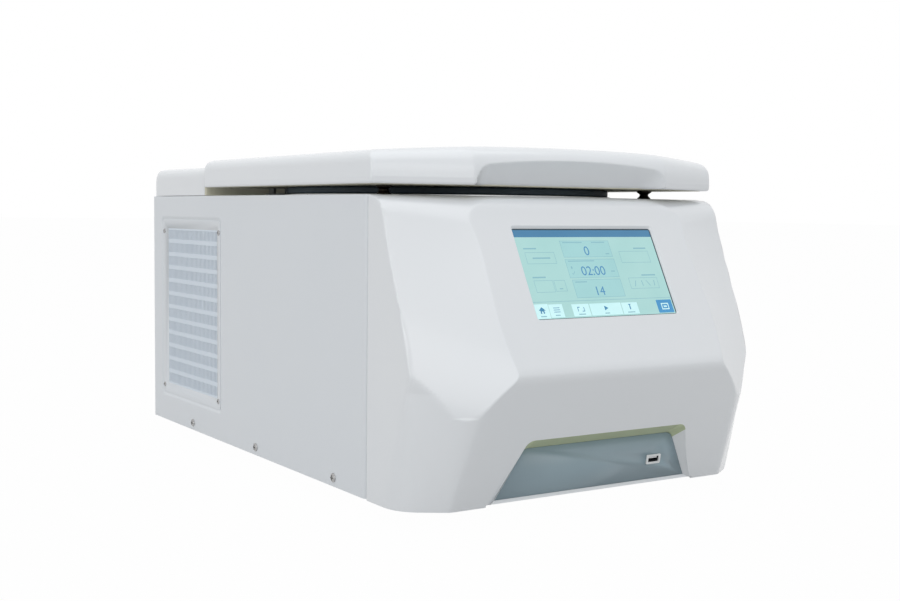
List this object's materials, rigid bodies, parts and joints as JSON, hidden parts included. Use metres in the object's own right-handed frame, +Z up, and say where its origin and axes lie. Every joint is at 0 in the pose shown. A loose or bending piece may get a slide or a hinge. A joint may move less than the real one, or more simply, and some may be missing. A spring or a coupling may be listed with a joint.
{
  "type": "refrigerated benchtop centrifuge",
  "caption": "Refrigerated benchtop centrifuge: low cabinet with a hinged lid over a cooled rotor chamber, side air vents, and a slanted touch screen on a moulded front.",
  "frame": {"origin": "on the bench, under the middle of the machine's bounding box", "axes": "+X to the right seen from the front, +Y from the front to the back, +Z up"},
  "size_m": [0.408, 0.6718, 0.3348],
  "materials": {
    "white_paint": "satin powder coat",
    "white_housing": "smooth moulded, faintly textured on the corners",
    "panel_grey": "satin blue-grey",
    "screen_glass": "lit display under a smooth cover",
    "black_plastic": "fine matt",
    "white_plastic": "smooth",
    "black_rubber": "matt",
    "stainless": "brushed",
    "zinc_steel": "zinc plated",
    "aluminium": "anodised",
    "copper": "drawn tube",
    "foam": "foamed",
    "black_enamel": "enamel",
    "circuit_board": "solder mask"
  },
  "bodies": {
    "cabinet": {"base_pan": "zinc_steel", "foot_front_left": "black_rubber", "foot_front_right": "black_rubber", "foot_rear_left": "black_rubber", "foot_rear_right": "black_rubber", "left_side_panel": "white_paint", "right_side_panel": "white_paint", "left_vent_grille": "white_paint", "right_vent_grille": "white_paint", "rear_panel": "white_paint", "top_deck": "white_paint", "rear_cover": "white_housing", "front_fascia": "white_housing", "touch_screen": "screen_glass", "display_housing": "black_plastic", "control_board": "circuit_board", "lower_front_panel": "panel_grey", "usb_port": "white_plastic", "chamber_bowl": "stainless", "chamber_gasket": "black_rubber", "evaporator_coil": "copper", "chamber_insulation": "foam", "temperature_sensor": "stainless", "drive_motor": "aluminium", "motor_mount_plate": "zinc_steel", "vibration_damper_1": "black_rubber", "vibration_damper_2": "black_rubber", "vibration_damper_3": "black_rubber", "shaft_seal": "black_rubber", "condenser": "aluminium", "fan_shroud": "black_plastic", "fan_motor": "black_enamel", "compressor": "black_enamel", "suction_pipe": "copper", "discharge_pipe": "copper", "filter_drier": "copper", "drive_inverter": "aluminium", "power_inlet": "black_plastic", "mains_switch_frame": "black_plastic", "latch_housing_left": "black_plastic", "latch_housing_right": "black_plastic", "hinge_bracket_left": "zinc_steel", "hinge_bracket_right": "zinc_steel", "hinge_pin_left": "stainless", "hinge_pin_right": "stainless", "torsion_spring_left": "zinc_steel", "torsion_spring_right": "zinc_steel"},
    "lid": {"lid_shell": "white_housing", "lid_liner": "white_paint", "striker_left": "stainless", "striker_right": "stainless", "hinge_arm_left": "zinc_steel", "hinge_arm_right": "zinc_steel"},
    "rotor": {"drive_shaft": "stainless", "rotor_body": "aluminium", "rotor_lid": "aluminium"},
    "fan": {"condenser_fan": "black_plastic"},
    "catch_left": {"latch_catch_left": "zinc_steel"},
    "catch_right": {"latch_catch_right": "zinc_steel"},
    "switch_rocker": {"mains_switch_rocker": "black_plastic"}
  },
  "joints": [
    {"name": "lid_hinge", "type": "hinge", "parent": "cabinet", "child": "lid", "pos_m": [0, 0.14099, 0.319], "axis": [-1, 0, 0], "range_deg": [0, 75]},
    {"name": "rotor_spin", "type": "hinge", "parent": "cabinet", "child": "rotor", "pos_m": [0, -0.03501, 0.214], "axis": [0, 0, 1], "continuous": true},
    {"name": "fan_spin", "type": "hinge", "parent": "cabinet", "child": "fan", "pos_m": [-0.1617, 0.20599, 0.155], "axis": [1, 0, 0], "continuous": true},
    {"name": "left_catch_slide", "type": "slide", "parent": "cabinet", "child": "catch_left", "axis": [0, 1, 0], "range_m": [0, 0.012]},
    {"name": "right_catch_slide", "type": "slide", "parent": "cabinet", "child": "catch_right", "axis": [0, 1, 0], "range_m": [0, 0.012]},
    {"name": "mains_switch_rock", "type": "hinge", "parent": "cabinet", "child": "switch_rocker", "pos_m": [0.06, 0.33099, 0.076], "axis": [1, 0, 0], "range_deg": [0, 20]}
  ],
  "couplings": [
    {"joint": "right_catch_slide", "follows": "left_catch_slide", "ratio": 1}
  ]
}
